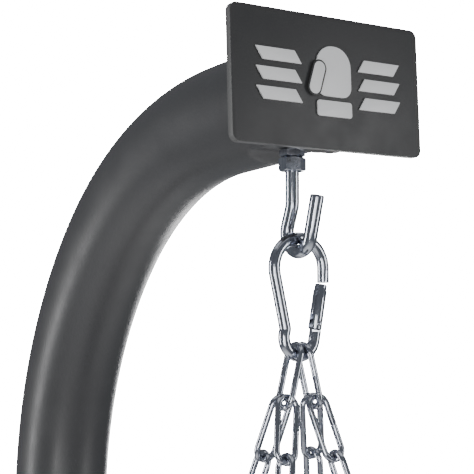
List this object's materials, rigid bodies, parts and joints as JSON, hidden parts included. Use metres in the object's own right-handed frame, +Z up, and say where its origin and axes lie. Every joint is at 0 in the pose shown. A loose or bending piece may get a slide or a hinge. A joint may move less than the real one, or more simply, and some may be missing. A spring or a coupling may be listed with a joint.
{
  "type": "punching bag on stand",
  "caption": "Cylindrical punching bag hung by chains, a snap hook and a hook bolt from a gooseneck tube stand with a splayed floor base.",
  "frame": {"origin": "on the floor, under the middle of the base's footprint", "axes": "+Z up; the arm's sign plate faces -Y; the mast stands at +Y; +X is to the right seen from the front"},
  "size_m": [1.1832, 1.1894, 2.1562],
  "materials": {
    "powder": "satin charcoal powder coat, fine orange peel",
    "sign": "satin charcoal paint",
    "emblem": "light grey raised enamel",
    "zinc": "bright zinc plate",
    "rubber": "matt black rubber",
    "leather": "black grained synthetic leather",
    "filling": "compressed textile fibre",
    "webbing": "black woven webbing"
  },
  "bodies": {
    "stand": {"arm_tube": "powder", "coupling_high_bolt": "zinc", "coupling_high_nut": "zinc", "coupling_low_bolt": "zinc", "coupling_low_nut": "zinc", "coupling_sleeve": "powder", "front_leg_left": "powder", "front_leg_left_cap": "rubber", "front_leg_left_foot": "rubber", "front_leg_left_peg": "powder", "front_leg_right": "powder", "front_leg_right_cap": "rubber", "front_leg_right_foot": "rubber", "front_leg_right_peg": "powder", "gusset_1": "powder", "gusset_2": "powder", "gusset_3": "powder", "gusset_4": "powder", "hook_bolt": "zinc", "hook_lock_nut": "zinc", "hook_lower_nut": "zinc", "hook_top_nut": "zinc", "hook_top_washer": "zinc", "hub_plate": "powder", "mast_socket": "powder", "mast_tube": "powder", "rear_leg": "powder", "rear_leg_cap": "rubber", "rear_leg_foot": "rubber", "rear_leg_peg": "powder", "sign_emblem": "emblem", "sign_plate": "sign", "socket_bolt": "zinc", "socket_nut": "zinc"},
    "snap_hook": {"snap_hook_body": "zinc", "snap_hook_pin": "zinc"},
    "gate": {"snap_hook_gate": "zinc"},
    "bag": {"bag_cover": "leather", "bag_filling": "filling", "bag_lid": "leather", "bag_ring_front_left": "zinc", "bag_ring_front_right": "zinc", "bag_ring_rear_left": "zinc", "bag_ring_rear_right": "zinc", "bag_strap_front_left": "webbing", "bag_strap_front_right": "webbing", "bag_strap_rear_left": "webbing", "bag_strap_rear_right": "webbing", "bottom_strap": "webbing", "chain_leg_front_left": "zinc", "chain_leg_front_right": "zinc", "chain_leg_rear_left": "zinc", "chain_leg_rear_right": "zinc", "top_link_left": "zinc", "top_link_right": "zinc"},
    "bottom_ring": {"bottom_ring": "zinc"}
  },
  "joints": [
    {"name": "side_swing", "type": "hinge", "parent": "stand", "child": "snap_hook", "pos_m": [0, -0.14315, 1.9805], "axis": [0, 1, 0], "range_deg": [-35, 35]},
    {"name": "fore_aft_swing", "type": "hinge", "parent": "snap_hook", "child": "bag", "pos_m": [0, -0.14315, 1.90405], "axis": [1, 0, 0], "range_deg": [-40, 7]},
    {"name": "gate_open", "type": "hinge", "parent": "snap_hook", "child": "gate", "pos_m": [0.015, -0.14315, 1.92775], "axis": [0, -1, 0], "range_deg": [0, 24], "stiffness_Nm_per_rad": 0.05, "springref_deg": -14.32},
    {"name": "tether_ring_swing", "type": "hinge", "parent": "bag", "child": "bottom_ring", "pos_m": [0, -0.14315, 0.4724], "axis": [0, 1, 0], "range_deg": [-85, 85]}
  ]
}
